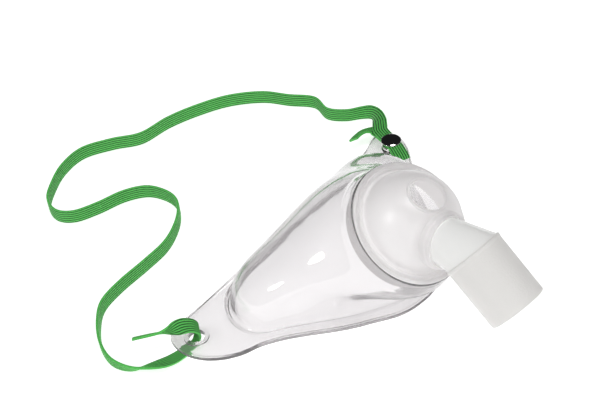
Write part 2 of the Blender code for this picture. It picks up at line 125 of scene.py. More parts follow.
def clear_vinyl():
    """Clear soft vinyl: its depth tints it, and slow waves bend what shows through."""
    nodes = Nodes("clear_soft_vinyl")
    nodes.set(Base_Color=(0.94, 0.93, 0.935, 1), Transmission_Weight=0.91, IOR=1.5)
    depth = nodes.add("ShaderNodeVolumeAbsorption")
    depth.inputs["Color"].default_value = (0.05, 0.015, 0.03, 1)
    depth.inputs["Density"].default_value = VINYL_DENSITY
    nodes.link(depth, "Volume", nodes.output, "Volume")
    where = nodes.add("ShaderNodeTexCoord")
    haze = nodes.add("ShaderNodeTexNoise", Scale=38.0, Detail=3.0)
    nodes.link(where, "Object", haze, "Vector")
    rough = nodes.add("ShaderNodeMapRange")
    rough.inputs["To Min"].default_value = 0.02
    rough.inputs["To Max"].default_value = 0.10
    nodes.link(haze, "Fac", rough, "Value")
    nodes.link(rough, "Result", nodes.shader, "Roughness")
    wave = nodes.add("ShaderNodeTexNoise", Scale=70.0, Detail=1.5)
    nodes.link(where, "Object", wave, "Vector")
    bump = nodes.add("ShaderNodeBump", Strength=0.22, Distance=0.001)
    nodes.link(wave, "Fac", bump, "Height")
    nodes.link(bump, "Normal", nodes.shader, "Normal")
    lets_lamps_through(nodes, 0.93)
    return nodes.material


def frosted(name, colour, clear_share, rough_low, rough_high, grain, bump_strength):
    """Milky plastic: partly see-through, unevenly rough, with a fine grain."""
    nodes = Nodes(name)
    nodes.set(Base_Color=colour, Transmission_Weight=clear_share, IOR=1.46)
    where = nodes.add("ShaderNodeTexCoord")
    haze = nodes.add("ShaderNodeTexNoise", Scale=60.0, Detail=4.0)
    nodes.link(where, "Object", haze, "Vector")
    rough = nodes.add("ShaderNodeMapRange")
    rough.inputs["To Min"].default_value = rough_low
    rough.inputs["To Max"].default_value = rough_high
    nodes.link(haze, "Fac", rough, "Value")
    nodes.link(rough, "Result", nodes.shader, "Roughness")
    fine = nodes.add("ShaderNodeTexNoise", Scale=grain, Detail=2.0)
    nodes.link(where, "Object", fine, "Vector")
    bump = nodes.add("ShaderNodeBump", Strength=bump_strength, Distance=0.0003)
    nodes.link(fine, "Fac", bump, "Height")
    nodes.link(bump, "Normal", nodes.shader, "Normal")
    lets_lamps_through(nodes, 0.80)
    return nodes.material


def elastic():
    """Green covered elastic: warp ribs with painted shade in their grooves, fine weft crossings and a
    slightly hairy sheen.
    """
    nodes = Nodes("green_elastic")
    nodes.set(Roughness=0.72, Sheen_Weight=0.25, Sheen_Roughness=0.4)
    uv = nodes.add("ShaderNodeUVMap")
    split = nodes.add("ShaderNodeSeparateXYZ")
    nodes.link(uv, "UV", split, "Vector")
    rib = nodes.add("ShaderNodeMath", operation='MULTIPLY')
    rib.inputs[1].default_value = RIBS * 2 * math.pi
    nodes.link(split, "X", rib, 0)
    wave = nodes.add("ShaderNodeMath", operation='COSINE')
    nodes.link(rib, 0, wave, 0)
    # Across each rib the colour runs from near black in the groove, which is painted shade, to the elastic's
    # own bright green on the ridge
    ramp = nodes.add("ShaderNodeMapRange")
    ramp.inputs["From Min"].default_value = -0.85
    ramp.inputs["From Max"].default_value = 0.15
    nodes.link(wave, 0, ramp, "Value")
    weft = nodes.add("ShaderNodeTexWave", Scale=0.8, Distortion=1.2, Detail=1.0)
    stretch = nodes.add("ShaderNodeMapping")
    stretch.inputs["Scale"].default_value = (3.0, 420.0, 1.0)
    nodes.link(uv, "UV", stretch, "Vector")
    weft.bands_direction = 'Y'
    nodes.link(stretch, "Vector", weft, "Vector")
    colour = nodes.add("ShaderNodeMix", data_type='RGBA')
    # Near-black groove colour: painted shade between the ribs, not a dye of the elastic
    colour.inputs["A"].default_value = (0.001, 0.016, 0.004, 1)
    colour.inputs["B"].default_value = (0.12, 0.70, 0.12, 1)
    nodes.tree.links.new(ramp.outputs["Result"], colour.inputs["Factor"])
    speck = nodes.add("ShaderNodeMix", data_type='RGBA')
    speck.blend_type = 'MULTIPLY'
    speck.inputs["Factor"].default_value = 0.25
    nodes.tree.links.new(colour.outputs["Result"], speck.inputs["A"])
    nodes.tree.links.new(weft.outputs["Color"], speck.inputs["B"])
    nodes.tree.links.new(speck.outputs["Result"], nodes.shader.inputs["Base Color"])
    bump = nodes.add("ShaderNodeBump", Strength=0.3, Distance=0.0002)
    nodes.link(weft, "Fac", bump, "Height")
    nodes.link(bump, "Normal", nodes.shader, "Normal")
    return nodes.material


def chrome(name, colour, roughness):
    """Polished metal with fine scuffs."""
    nodes = Nodes(name)
    nodes.set(Base_Color=colour, Metallic=1.0)
    where = nodes.add("ShaderNodeTexCoord")
    scuff = nodes.add("ShaderNodeTexNoise", Scale=900.0, Detail=3.0)
    nodes.link(where, "Object", scuff, "Vector")
    rough = nodes.add("ShaderNodeMapRange")
    rough.inputs["To Min"].default_value = roughness
    rough.inputs["To Max"].default_value = roughness * 2.2
    nodes.link(scuff, "Fac", rough, "Value")
    nodes.link(rough, "Result", nodes.shader, "Roughness")
    return nodes.material


RIBS = 6
VINYL_DENSITY = 160.0   # per metre; the wall is clear face on and grey along its edges
VINYL = clear_vinyl()
HOOD_PLASTIC = frosted("frosted_hood", (0.90, 0.885, 0.885, 1), 0.46, 0.28, 0.38, 900.0, 0.05)
TUBE_PLASTIC = frosted("frosted_tube", (1.0, 1.0, 0.99, 1), 0.25, 0.20, 0.28, 700.0, 0.12)
CONE_PLASTIC = frosted("matt_cone", (0.84, 0.83, 0.815, 1), 0.28, 0.50, 0.62, 1400.0, 0.30)
ELASTIC = elastic()
NICKEL = chrome("polished_nickel", (0.74, 0.73, 0.73, 1), 0.04)


# ---------------------------------------------------------------- shapes
def link_mesh(name, bm, *materials):
    bmesh.ops.recalc_face_normals(bm, faces=bm.faces)
    mesh = bpy.data.meshes.new(name)
    bm.to_mesh(mesh)
    bm.free()
    obj = bpy.data.objects.new(name, mesh)
    scene.collection.objects.link(obj)
    for mat in materials:
        mesh.materials.append(mat)
    return obj


def apply_modifiers(obj):
    bpy.context.view_layer.update()
    depsgraph = bpy.context.evaluated_depsgraph_get()
    mesh = bpy.data.meshes.new_from_object(obj.evaluated_get(depsgraph))
    obj.modifiers.clear()
    obj.data = mesh


def smooth(obj, angle):
    """Smooth shading, but sharp where two faces meet at more than angle degrees."""
    obj.data.shade_smooth()
    obj.data.set_sharp_from_angle(angle=math.radians(angle))


def boolean(obj, other, operation):
    mod = obj.modifiers.new(operation.lower(), 'BOOLEAN')
    mod.operation = operation
    mod.solver = 'EXACT'
    mod.object = other
    apply_modifiers(obj)
    bpy.data.objects.remove(other, do_unlink=True)


def frame_at(origin, axis):
    rotation = Vector(axis).normalized().to_track_quat('Z', 'Y').to_matrix().to_4x4()
    return Matrix.Translation(Vector(origin) * MM) @ rotation


def turned(name, profile, steps, where, *materials):
    """Solid turned about local Z from a (radius, height) outline in mm, lowest point first."""
    bm = bmesh.new()
    closed = profile[0][0] > 0.0
    rings = []
    for radius, height in profile:
        if radius <= 0.0:
            rings.append([bm.verts.new((0.0, 0.0, height * MM))])
            continue
        ring = []
        for k in range(steps):
            a = 2 * math.pi * k / steps
            ring.append(bm.verts.new((radius * math.cos(a) * MM, radius * math.sin(a) * MM, height * MM)))
        rings.append(ring)
    pairs = list(zip(rings, rings[1:]))
    if closed:
        pairs.append((rings[-1], rings[0]))
    for low, high in pairs:
        for k in range(steps):
            n = (k + 1) % steps
            corners = [low[k % len(low)], low[n % len(low)], high[n % len(high)], high[k % len(high)]]
            face = []
            for corner in corners:
                if corner not in face:
                    face.append(corner)
            if len(face) > 2:
                bm.faces.new(face)
    obj = link_mesh(name, bm, *materials)
    obj.data.transform(where)
    return obj


def rounded(corners, steps=5):
    """An outline with each middle corner (radius, height, fillet) rounded off."""
    out = [corners[0][:2]]
    for before, here, after in zip(corners, corners[1:], corners[2:]):
        fillet = here[2] if len(here) > 2 else 0.0
        p, q, r = Vector(before[:2]), Vector(here[:2]), Vector(after[:2])
        if fillet <= 0.0:
            out.append(tuple(q))
            continue
        a = q + (p - q).normalized() * fillet
        b = q + (r - q).normalized() * fillet
        for k in range(steps + 1):
            t = k / steps
            out.append(tuple(a * (1 - t) ** 2 + q * (2 * t * (1 - t)) + b * t ** 2))
    out.append(corners[-1][:2])
    return out


SPLINE_STEPS = 24      # points between two given ones, before they are spaced evenly


def spline(points, count, closed=False):
    """Catmull-Rom curve through the points, evenly spaced along its length."""
    pts = [Vector(p) for p in points]
    n = len(pts)
    dense = []
    spans = n if closed else n - 1
    for i in range(spans):
        if closed:
            a, b, c, d = pts[i - 1], pts[i], pts[(i + 1) % n], pts[(i + 2) % n]
        else:
            a = pts[i - 1] if i > 0 else pts[i] * 2 - pts[i + 1]
            b, c = pts[i], pts[i + 1]
            d = pts[i + 2] if i + 2 < n else pts[i + 1] * 2 - pts[i]
        for s in range(SPLINE_STEPS):
            t = s / SPLINE_STEPS
            dense.append(0.5 * ((2 * b) + (c - a) * t + (2 * a - 5 * b + 4 * c - d) * t * t
                                + (3 * b - a - 3 * c + d) * t ** 3))
    dense.append(pts[0].copy() if closed else pts[-1].copy())
    lengths = [0.0]
    for p, q in zip(dense, dense[1:]):
        lengths.append(lengths[-1] + (q - p).length)
    out = []
    j = 0
    steps = count if closed else count - 1
    for k in range(count):
        target = lengths[-1] * k / steps
        while j < len(lengths) - 2 and lengths[j + 1] < target:
            j += 1
        span = max(lengths[j + 1] - lengths[j], 1e-12)
        f = min(max((target - lengths[j]) / span, 0.0), 1.0)
        out.append(dense[j].lerp(dense[j + 1], f))
    return out


# ---------------------------------------------------------------- the elastic strap
STRAP_WIDTH = 6.4
STRAP_THICK = 1.1
W = STRAP_WIDTH
T = STRAP_THICK
THIN = 0.82            # the elastic pressed thinner where it lies double under the cap
TABLE = W / 2 + 0.3
SNAP = (63.3, 46.7)
# Stations x, y, z, width, thickness, lean: 0 stands the band on its edge, 90 lays it flat.
FOLD = [(57.9, 62.6, 5.4, W, T, 48), (61.3, 62.4, 5.7, W, T, 50), (64.9, 61.4, 5.7, W, T, 60),
        (67.6, 58.6, 5.5, W, 0.9, 84), (67.0, 55.6, 6.0, W, THIN, 90), (65.4, 51.6, 6.6, W, THIN, 90),
        (SNAP[0], SNAP[1], 6.62, W, THIN, 90), (61.5, 43.2, 6.5, W, THIN, 90),
        (59.7, 40.1, 5.7, W, THIN, 90), (58.6, 38.1, 4.9, W, THIN, 90), (58.2, 37.5, 5.2, W, THIN, 90),
        (58.6, 38.0, 5.75, W, THIN, 90), (59.9, 40.4, 6.8, W, THIN, 90),
        (61.5, 43.2, 7.45, W, THIN, 90), (SNAP[0], SNAP[1], 7.5, W, THIN, 90)]
RUN = [(66.9, 54.2, 7.3, W, T, 90), (69.8, 56.8, 7.6, W, T, 86), (72.6, 59.0, 7.4, W, T, 70),
       (76.2, 63.0, 6.2, W, T, 35), (78.3, 67.4, 4.7, W, T, 8), (77.0, 71.8, TABLE, W, T, 0),
       (71.9, 76.9, TABLE, W, T, 0), (69.0, 84.5, TABLE, W, T, 0), (72.5, 94.0, TABLE, W, T, 0),
       (68.0, 105.0, TABLE, W, T, 0), (63.5, 117.0, TABLE, W, T, 0), (53.5, 128.5, TABLE, W, T, 0),
       (40.5, 136.5, TABLE, W, T, 0), (27.0, 142.0, TABLE, W, T, 0), (12.5, 145.0, TABLE, W, T, 0),
       (2.5, 153.5, TABLE, W, T, 0), (-9.0, 160.5, TABLE, W, T, 0), (-21.5, 160.0, TABLE, W, T, 0),
       (-33.0, 155.0, TABLE, W, T, 0), (-40.5, 149.5, TABLE, W, T, 0), (-43.8, 141.5, TABLE, W, T, 0),
       (-40.5, 134.5, TABLE, W, T, 0), (-31.5, 129.5, TABLE, W, T, 0), (-20.5, 125.3, TABLE, W, T, 0),
       (-13.0, 119.2, TABLE, W, T, 0), (-10.6, 111.5, TABLE, W, T, 0), (-11.5, 104.0, TABLE, W, T, 0),
       (-16.0, 98.2, TABLE, W, T, 0), (-24.0, 93.2, TABLE, W, T, 0), (-34.0, 90.0, TABLE, W, T, 0),
       (-46.0, 89.8, TABLE, W, T, 0), (-60.0, 90.3, TABLE, W, T, 0), (-71.0, 89.0, TABLE, W, T, 0),
       (-79.0, 83.8, TABLE, W, T, 0), (-86.0, 76.0, TABLE, W, T, 0), (-89.8, 67.0, TABLE, W, T, 8),
       (-88.4, 59.0, TABLE - 0.3, W, T, 25), (-83.0, 53.6, 2.6, 6.2, T, 60),
       (-76.5, 50.6, 1.15, 5.2, 1.0, 90),
       (-69.6, 48.8, 0.9, 4.4, 1.0, 90), (-66.6, 48.4, 0.95, 4.0, 1.0, 90), (-64.5, 48.2, 1.5, 3.8, 1.0, 90)]
THROUGH = [(-63.5, 48.2, 2.9, 3.8, 1.0, 90), (-62.8, 47.8, 5.0, 4.6, T, 90), (-62.7, 48.0, 7.2, 5.6, T, 90),
           (-63.8, 49.5, 8.8, 6.0, T, 88), (-65.8, 51.9, 9.1, 6.0, T, 75), (-67.9, 53.8, 8.7, 5.8, T, 30),
           (-69.8, 55.4, 8.2, 5.6, T, -30), (-72.5, 58.1, 7.8, 5.6, T, -46), (-76.0, 61.5, 7.5, 5.6, T, -48),
           (-79.6, 64.9, 7.2, 5.6, T, -48)]
STRAP_RINGS = 820
STRAP_EASE = 7         # rings either side over which a twist is evened out
RIB_POINTS = 8         # points over one rib on each face of the band
RIB_DEPTH = 0.22
SELVEDGE_FROM = 0.93   # share of the half width where the band starts to thin towards its edges
SELVEDGE_THINNING = 0.45
NEAR_UPRIGHT = 0.35    # level share of the run below which the band keeps its last direction


def band_section():
    """One face of the ribbed band: places across it from 0 to 1, and how far each stands up, 1 on a rib."""
    face = []
    count = RIBS * RIB_POINTS
    for k in range(count + 1):
        u = k / count
        face.append((u, abs(math.cos(math.pi * RIBS * u))))
    return face


def band_frames(stations, path):
    """Direction, width direction, width and thickness of the band at each point of its path."""
    guide = [Vector(s[:3]) for s in stations]
    count = len(path)
    cuts = [0.0]
    for p, q in zip(guide, guide[1:]):
        cuts.append(cuts[-1] + (q - p).length)
    last_wide = UP
    frames = []
    for i in range(count):
        along = (path[min(i + 1, count - 1)] - path[max(i - 1, 0)]).normalized()
        where = cuts[-1] * i / (count - 1)
        j = max(k for k in range(len(cuts) - 1) if cuts[k] <= where + 1e-9)
        f = min((where - cuts[j]) / (cuts[j + 1] - cuts[j]), 1.0)
        width, thickness, lean = (stations[j][n] * (1 - f) + stations[j + 1][n] * f for n in (3, 4, 5))
        side = along.cross(UP)
        wide = last_wide
        if side.length > NEAR_UPRIGHT:
            side.normalize()
            lean = math.radians(lean)
            wide = side.cross(along).normalized() * math.cos(lean) + side * math.sin(lean)
        if wide.dot(last_wide) < 0:
            wide = -wide
        last_wide = wide
        frames.append((along, wide, width, thickness))
    return frames


def strap(name, stations, count):
    """The ribbed band along its stations, and the points of its middle line in metres."""
    path = spline([s[:3] for s in stations], count)
    frames = band_frames(stations, path)
    face = band_section()
    bm = bmesh.new()
    uv = bm.loops.layers.uv.new("UVMap")
    rings = []
    across = [u for u, r in face] + [u for u, r in reversed(face)]
    for i, point in enumerate(path):
        along, wide, width, thickness = frames[i]
        near = Vector((0, 0, 0))
        for k in range(max(i - STRAP_EASE, 0), min(i + STRAP_EASE, count - 1) + 1):
            near += frames[k][1]
        wide = (near - along * near.dot(along)).normalized()
        thin = wide.cross(along).normalized()
        ring = []
        for half in (1, -1):
            rows = face if half == 1 else list(reversed(face))
            for u, rib in rows:
                past = max(0.0, abs(2 * u - 1) - SELVEDGE_FROM) / (1 - SELVEDGE_FROM)
                end = 1.0 - SELVEDGE_THINNING * past
                depth = (thickness / 2 - RIB_DEPTH * (1 - rib)) * end
                ring.append(bm.verts.new(place(point + wide * ((u - 0.5) * width) + thin * (half * depth))))
        rings.append(ring)
    size = len(rings[0])
    for i, (a, b) in enumerate(zip(rings, rings[1:])):
        v0, v1 = i / (count - 1), (i + 1) / (count - 1)
        for k in range(size):
            n = (k + 1) % size
            quad = bm.faces.new((a[k], a[n], b[n], b[k]))
            marks = ((across[k], v0), (across[n], v0), (across[n], v1), (across[k], v1))
            for loop, mark in zip(quad.loops, marks):
                loop[uv].uv = mark
    bm.faces.new(rings[0])
    bm.faces.new(list(reversed(rings[-1])))
    obj = link_mesh(name, bm, ELASTIC)
    smooth(obj, 60)
    return obj, [place(p) for p in path]


elastic_strap, strap_path = strap("neck_strap", FOLD + RUN + THROUGH, STRAP_RINGS)
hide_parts("strap_run", "strap_end")
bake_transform(elastic_strap)

# ---------------------------------------------------------------- the soft shield
EDGE_RIGHT = [(0, -10.8, 1.6), (5.5, -11.0, 1.7), (10.4, -11.0, 1.7), (15.4, -10.0, 1.9),
              (22.6, -5.6, 2.2), (28.4, -0.2, 2.5), (34, 6.4, 2.8), (40, 13.2, 3.1),
              (46.5, 20.6, 3.3), (52.5, 27.2, 3.4), (57.8, 32.4, 3.4), (63.2, 37.0, 3.4),
              (67.8, 41.4, 3.4), (70.9, 46.2, 3.4), (71.8, 51.4, 3.4), (69.6, 56.2, 3.4),
              (65.0, 57.5, 3.4), (57.2, 55.6, 3.4), (47.5, 54.6, 3.6), (39, 55.0, 4.4),
              (30, 54.2, 6.0), (20, 53.0, 8.0), (10, 52.2, 9.6), (0, 52.0, 10.2)]
EDGE_LEFT = [(-10, 52.2, 9.6), (-20, 53.2, 8.0), (-30, 54.8, 6.0), (-39, 56.2, 4.4),
             (-47, 57.0, 3.6), (-56, 57.6, 3.4), (-64.0, 58.4, 3.4), (-68.8, 56.2, 3.4),
             (-71.4, 50.8, 3.4), (-71.6, 44.6, 3.4), (-69.6, 38.8, 3.4), (-65.6, 33.4, 3.4),
             (-60, 29.0, 3.4), (-53.4, 25.9, 3.4), (-46.2, 20.7, 3.3), (-39.2, 14.3, 3.1),
             (-33, 8.2, 2.8), (-27, 3.0, 2.5), (-20.9, -1.4, 2.2), (-13.8, -6.6, 1.9),
             (-7.4, -9.4, 1.7)]
CREASE_HALF = [(0, -4.4, 2.8), (8, -2.4, 2.9), (15, 1.4, 3.1), (24, 7.4, 3.5), (32.5, 14.8, 3.9),
               (41.4, 22.8, 4.1), (46.4, 26.8, 4.3), (49.4, 30.6, 4.4), (50.4, 35.6, 4.4),
               (49.2, 41.2, 4.5), (46.2, 45.8, 4.8), (41.0, 49.6, 5.4), (34, 50.8, 6.6),
               (24, 50.0, 8.6), (12, 49.0, 10.4), (0, 48.8, 11.0)]
SHIELD_STEPS = 360
SPOKE_CENTRE = Vector((0.0, 22.0, 0.0))
SHEET = 1.5
HOOD_TILT = 38.0
HOOD_TURN = 20.5
NECK_CENTRE = Vector((0.0, 0.0, 30.3))
NECK_RADIUS = 24.9
NECK_HEIGHT = 7.2
EAR_HOLE = (-63.7, 48.2)
EAR_HOLE_RADIUS = 3.1
SMALL_ROUND = 72       # steps round the ear holes and the press stud


def ray_point(outline, angle):
    """Where the spoke at this angle from the spoke centre meets the outline."""
    dx, dy = math.cos(angle), math.sin(angle)
    best = None
    for a, b in zip(outline, outline[1:] + outline[:1]):
        ax, ay = a.x - SPOKE_CENTRE.x, a.y - SPOKE_CENTRE.y
        bx, by = b.x - SPOKE_CENTRE.x, b.y - SPOKE_CENTRE.y
        ca, cb = ax * dy - ay * dx, bx * dy - by * dx
        if ca * cb > 0 or ca == cb:
            continue
        point = a.lerp(b, ca / (ca - cb))
        reach = (point.x - SPOKE_CENTRE.x) * dx + (point.y - SPOKE_CENTRE.y) * dy
        if reach > 0 and (best is None or reach > best[0]):
            best = (reach, point)
    return best[1]


tilt = Matrix.Rotation(math.radians(HOOD_TILT), 4, 'X')
hood_axis = tilt @ UP


def neck_point(angle, radius, height):
    """A point of the tilted neck, in mm."""
    return NECK_CENTRE + tilt @ Vector((radius * math.cos(angle), radius * math.sin(angle), height))


NECK_PROFILE = [(NECK_RADIUS, 0.0), (24.75, 0.8), (24.6, 1.6), (24.3, 3.2), (24.05, 4.8), (23.85, 5.8),
                (23.75, 6.6), (23.6, NECK_HEIGHT)]
EDGE_ROWS, FLANGE_ROWS, BEAD_ROWS, FILLET_ROWS, WALL_ROWS, NECK_ROWS = 7, 8, 10, 8, 26, 12
EDGE_REACH = 2.0       # width of the thicker outer edge
EDGE_HEIGHT = 0.45
FOOT_REACH = 2.4
FILLET_UP = 0.03       # share of the wall's height taken by the fillet
BEAD_HEIGHT = 1.5
FOOT_SHARE = 0.45      # most of the flange's width that the foot takes, where the flange is narrow
EDGE_SHARE = 0.4       # most of what is left that the outer edge takes
FILLET_OUT = 0.35      # share of the foot taken by the fillet
WALL_LIFT = 0.46       # how straight up the wall starts, as a share of its span
WALL_LIFT_BACK = 0.14  # how much less of that at the back
NECK_PULL = 0.30       # how far the wall runs along the hood's axis before the neck
NECK_PULL_BACK = 0.08
NECK_FLARE = 0.10
CREASE_STEPS = 600
RIM_BULGE = 0.35       # how round the sheet's rims are, as a share of its thickness


def bezier(a, b, c, d, t):
    """The point at t on a cubic Bezier curve."""
    u = 1 - t
    return a * u ** 3 + b * (3 * u * u * t) + c * (3 * u * t * t) + d * t ** 3


def shield_column(edge, angle, crease):
    """Outer face of the shield along one spoke, from the edge up to the mouth of the neck."""
    foot = crease + (edge - crease).normalized() * min(FOOT_REACH, FOOT_SHARE * (edge - crease).length)
    foot.z = edge.z
    near = crease.lerp(foot, FILLET_OUT)
    root = neck_point(angle, *NECK_PROFILE[0])
    outward = (neck_point(angle, 1.0, 0.0) - NECK_CENTRE).normalized()
    span = (root - crease).length
    back = max(math.sin(angle), 0.0)
    p1 = crease + UP * ((WALL_LIFT - WALL_LIFT_BACK * back) * span)
    pull = (NECK_PULL - NECK_PULL_BACK * back) * span
    p2 = root - hood_axis * pull + outward * (NECK_FLARE * span)
    wall_start = bezier(crease, p1, p2, root, FILLET_UP)
    rim = edge + (foot - edge).normalized() * min(EDGE_REACH, EDGE_SHARE * (foot - edge).length)
    column = [edge.lerp(rim, k / EDGE_ROWS) for k in range(EDGE_ROWS)]
    column += [rim.lerp(foot, k / FLANGE_ROWS) for k in range(FLANGE_ROWS)]
    column += [foot.lerp(near, k / BEAD_ROWS) for k in range(BEAD_ROWS)]
    for k in range(FILLET_ROWS):
        t = k / FILLET_ROWS
        column.append(near * (1 - t) ** 2 + crease * (2 * t * (1 - t)) + wall_start * t ** 2)
    for k in range(WALL_ROWS):
        column.append(bezier(crease, p1, p2, root, FILLET_UP + (1 - FILLET_UP) * k / WALL_ROWS))
    neck = [neck_point(angle, radius, height) for radius, height in NECK_PROFILE]
    return column + spline(neck, NECK_ROWS)


crease_left = [(-x, y, z) for x, y, z in reversed(CREASE_HALF[1:-1])]
edge_points = spline(EDGE_RIGHT + EDGE_LEFT, SHIELD_STEPS, closed=True)
crease_curve = spline(CREASE_HALF + crease_left, CREASE_STEPS, closed=True)
columns = []
for edge in edge_points:
    angle = math.atan2(edge.y - SPOKE_CENTRE.y, edge.x - SPOKE_CENTRE.x)
    columns.append(shield_column(edge, angle, ray_point(crease_curve, angle)))


NORMAL_PASSES = 4      # rounds of smoothing of the directions in which the wall is thickened


def grid_normals(grid):
    """Points of a grid that closes round its first index, with smoothed outward normals."""
    pts = np.array([[tuple(p) for p in column] for column in grid])
    round_way = np.roll(pts, -1, 0) - np.roll(pts, 1, 0)
    up_way = np.gradient(pts, axis=1)
    normals = np.cross(round_way, up_way)
    normals /= np.linalg.norm(normals, axis=2, keepdims=True)
    for _ in range(NORMAL_PASSES):
        padded = np.pad(normals, ((1, 1), (0, 0), (0, 0)), mode="wrap")
        padded = np.pad(padded, ((0, 0), (1, 1), (0, 0)), mode="edge")
        normals = (2 * normals + padded[:-2, 1:-1] + padded[2:, 1:-1]
                   + padded[1:-1, :-2] + padded[1:-1, 2:])
        normals /= np.linalg.norm(normals, axis=2, keepdims=True)
    return pts, normals


RIM_TURNS = [math.pi * k / 6 for k in range(1, 6)]


def half_round(start, end, way):
    """Points over a rounded rim from start to end, bulging along way."""
    return [start.lerp(end, (1 - math.cos(a)) / 2) + way * math.sin(a) for a in RIM_TURNS]


def shell(name, grid, wall, lift, mat):
    """Closed wall inside a grid of outer points, with both rims rounded.

    lift raises the outer face of each row.
    """
    pts, normals = grid_normals(grid)
    count = len(pts)
    loops = []
    for i in range(count):
        outer = [Vector(p) + Vector(n) * up for p, n, up in zip(pts[i], normals[i], lift)]
        inner = [Vector(p) - Vector(n) * wall for p, n in zip(pts[i], normals[i])]
        top_way = (outer[-1] - outer[-2]).normalized() * wall * RIM_BULGE
        edge_way = (outer[0] - outer[1]).normalized() * wall * RIM_BULGE
        loop = list(outer)
        loop += half_round(outer[-1], inner[-1], top_way)
        loop += list(reversed(inner))
        loop += half_round(inner[0], outer[0], edge_way)
        loops.append(loop)
    bm = bmesh.new()
    verts = [[bm.verts.new(place(p)) for p in loop] for loop in loops]
    size = len(verts[0])
    for a, b in zip(verts, verts[1:] + verts[:1]):
        for k in range(size):
            n = (k + 1) % size
            bm.faces.new((a[k], b[k], b[n], a[n]))
    return link_mesh(name, bm, mat)


lift = [0.0] * len(columns[0])
for k in range(EDGE_ROWS + 1):
    lift[k] = EDGE_HEIGHT * math.sin(math.pi * k / EDGE_ROWS) ** 2
for k in range(BEAD_ROWS + 1):
    lift[EDGE_ROWS + FLANGE_ROWS + k] = BEAD_HEIGHT * math.sin(math.pi * k / BEAD_ROWS) ** 2
shield = shell("clear_shield", columns, SHEET, lift, VINYL)
ring_outline = rounded([(0, 2.4), (EAR_HOLE_RADIUS + 1.7, 2.4), (EAR_HOLE_RADIUS + 1.6, 4.1, 0.5),
                        (EAR_HOLE_RADIUS - 0.2, 4.1, 0.3), (0, 4.1)])
ear_ring = turned("ear_ring_blank", ring_outline, SMALL_ROUND, Matrix.Translation(place((*EAR_HOLE, 0))))
boolean(shield, ear_ring, 'UNION')
for x, y in (EAR_HOLE, SNAP):
    hole_at = Matrix.Translation(place((x, y, 0)))
    hole_outline = [(0, -3), (EAR_HOLE_RADIUS, -3), (EAR_HOLE_RADIUS, 12), (0, 12)]
    hole = turned("ear_hole_cutter", hole_outline, SMALL_ROUND, hole_at)
    boolean(shield, hole, 'DIFFERENCE')
smooth(shield, 50)
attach(shield, "shield")
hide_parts("mask_body")

# ---------------------------------------------------------------- the hood
PLUG_RADIUS = 21.9
DOME_RADIUS = 19.1
DOME_CENTRE = 7.4
HOOD_WALL = 1.3
PORT_RADIUS = 6.7
PORT_AXIS = (-0.05, 0.245, 0.97)
PORT_RISE = 18.6
SOCKET_PLACE = 42.7
SOCKET_TILT = 38.2
SOCKET_OUT = 18.0
SOCKET_RADIUS = 10.6
SOCKET_RISE = 2.8
TUBE_RADIUS = 8.9
TUBE_WALL = 1.4
TUBE_LENGTH = 13.7
CONE_BIG = 11.2
CONE_SMALL = 10.9
CONE_LENGTH = 24.6
CONE_WALL = 1.5
GAP = 0.3
ROUND = 96

row_shift = Matrix.Translation(FRAME_SHIFT * MM)
hood_turn = Matrix.Rotation(math.radians(-HOOD_TURN), 4, 'Z')
hood_place = row_shift @ Matrix.Translation(NECK_CENTRE * MM) @ tilt @ hood_turn


def direction(degrees):
    """The direction that leans this far from the hood's axis, towards its front."""
    a = math.radians(degrees)
    return Vector((0, -math.sin(a), math.cos(a)))


def dome_arc(radius, start_height, count):
    """Points of a dome from its foot to the axis."""
    start = math.asin((start_height - DOME_CENTRE) / radius)
    points = []
    for k in range(count + 1):
        a = start + (math.pi / 2 - start) * k / count
        across = radius * math.cos(a) if k < count else 0.0
        points.append((across, DOME_CENTRE + radius * math.sin(a)))
    return points


dome_centre = Vector((0, 0, DOME_CENTRE))
socket_face = dome_centre + direction(SOCKET_PLACE) * SOCKET_OUT
socket_axis = direction(SOCKET_TILT)
port_axis = Vector(PORT_AXIS).normalized()
socket_place = hood_place @ frame_at(socket_face, socket_axis)
port_place = hood_place @ frame_at(dome_centre, port_axis)

dome_outer = dome_arc(DOME_RADIUS, 9.2, 30)
plug_outline = rounded([(0, 0.6), (PLUG_RADIUS - 0.3, 0.6), (PLUG_RADIUS, 1.2, 0.3),
                        (PLUG_RADIUS, 7.75, 0.1), (PLUG_RADIUS + 1.5, 7.75, 0.3),
                        (PLUG_RADIUS + 1.5, 8.6, 0.4), (PLUG_RADIUS + 0.5, 8.9, 0.3),
                        (PLUG_RADIUS + 0.1, 8.4, 0.2), (PLUG_RADIUS - 0.5, 8.4, 0.2),
                        (PLUG_RADIUS - 0.8, 9.0, 0.2), (PLUG_RADIUS - 1.5, 9.0, 0.3),
                        (PLUG_RADIUS - 1.8, 8.6, 0.2),
                        (DOME_RADIUS + 0.3, 8.7, 0.2), dome_outer[0]]) + dome_outer[1:]
hood = turned("frosted_hood", plug_outline, ROUND * 2, hood_place, HOOD_PLASTIC)
collar_outline = rounded([(0, -7), (SOCKET_RADIUS - 0.3, -7), (SOCKET_RADIUS, -0.4, 0.4),
                          (SOCKET_RADIUS, 0.7, 0.5), (SOCKET_RADIUS - 0.7, 1.1, 0.3),
                          (SOCKET_RADIUS - 0.8, SOCKET_RISE, 0.45),
                          (TUBE_RADIUS + GAP, SOCKET_RISE, 0.1), (0, SOCKET_RISE)])
boolean(hood, turned("collar_blank", collar_outline, ROUND, socket_place), 'UNION')
lip_outline = rounded([(0, 14), (PORT_RADIUS + 1.1, 14), (PORT_RADIUS + 0.9, PORT_RISE, 0.45),
                       (0, PORT_RISE)])
boolean(hood, turned("lip_blank", lip_outline, ROUND, port_place), 'UNION')
dome_inner = dome_arc(DOME_RADIUS - HOOD_WALL, 8.0, 30)
cavity = [(0, -2), (PLUG_RADIUS - HOOD_WALL - 0.2, -2), (PLUG_RADIUS - HOOD_WALL - 0.2, 7.6)] + dome_inner
boolean(hood, turned("hood_cavity", cavity, ROUND * 2, hood_place), 'DIFFERENCE')
bore_radius = TUBE_RADIUS + GAP
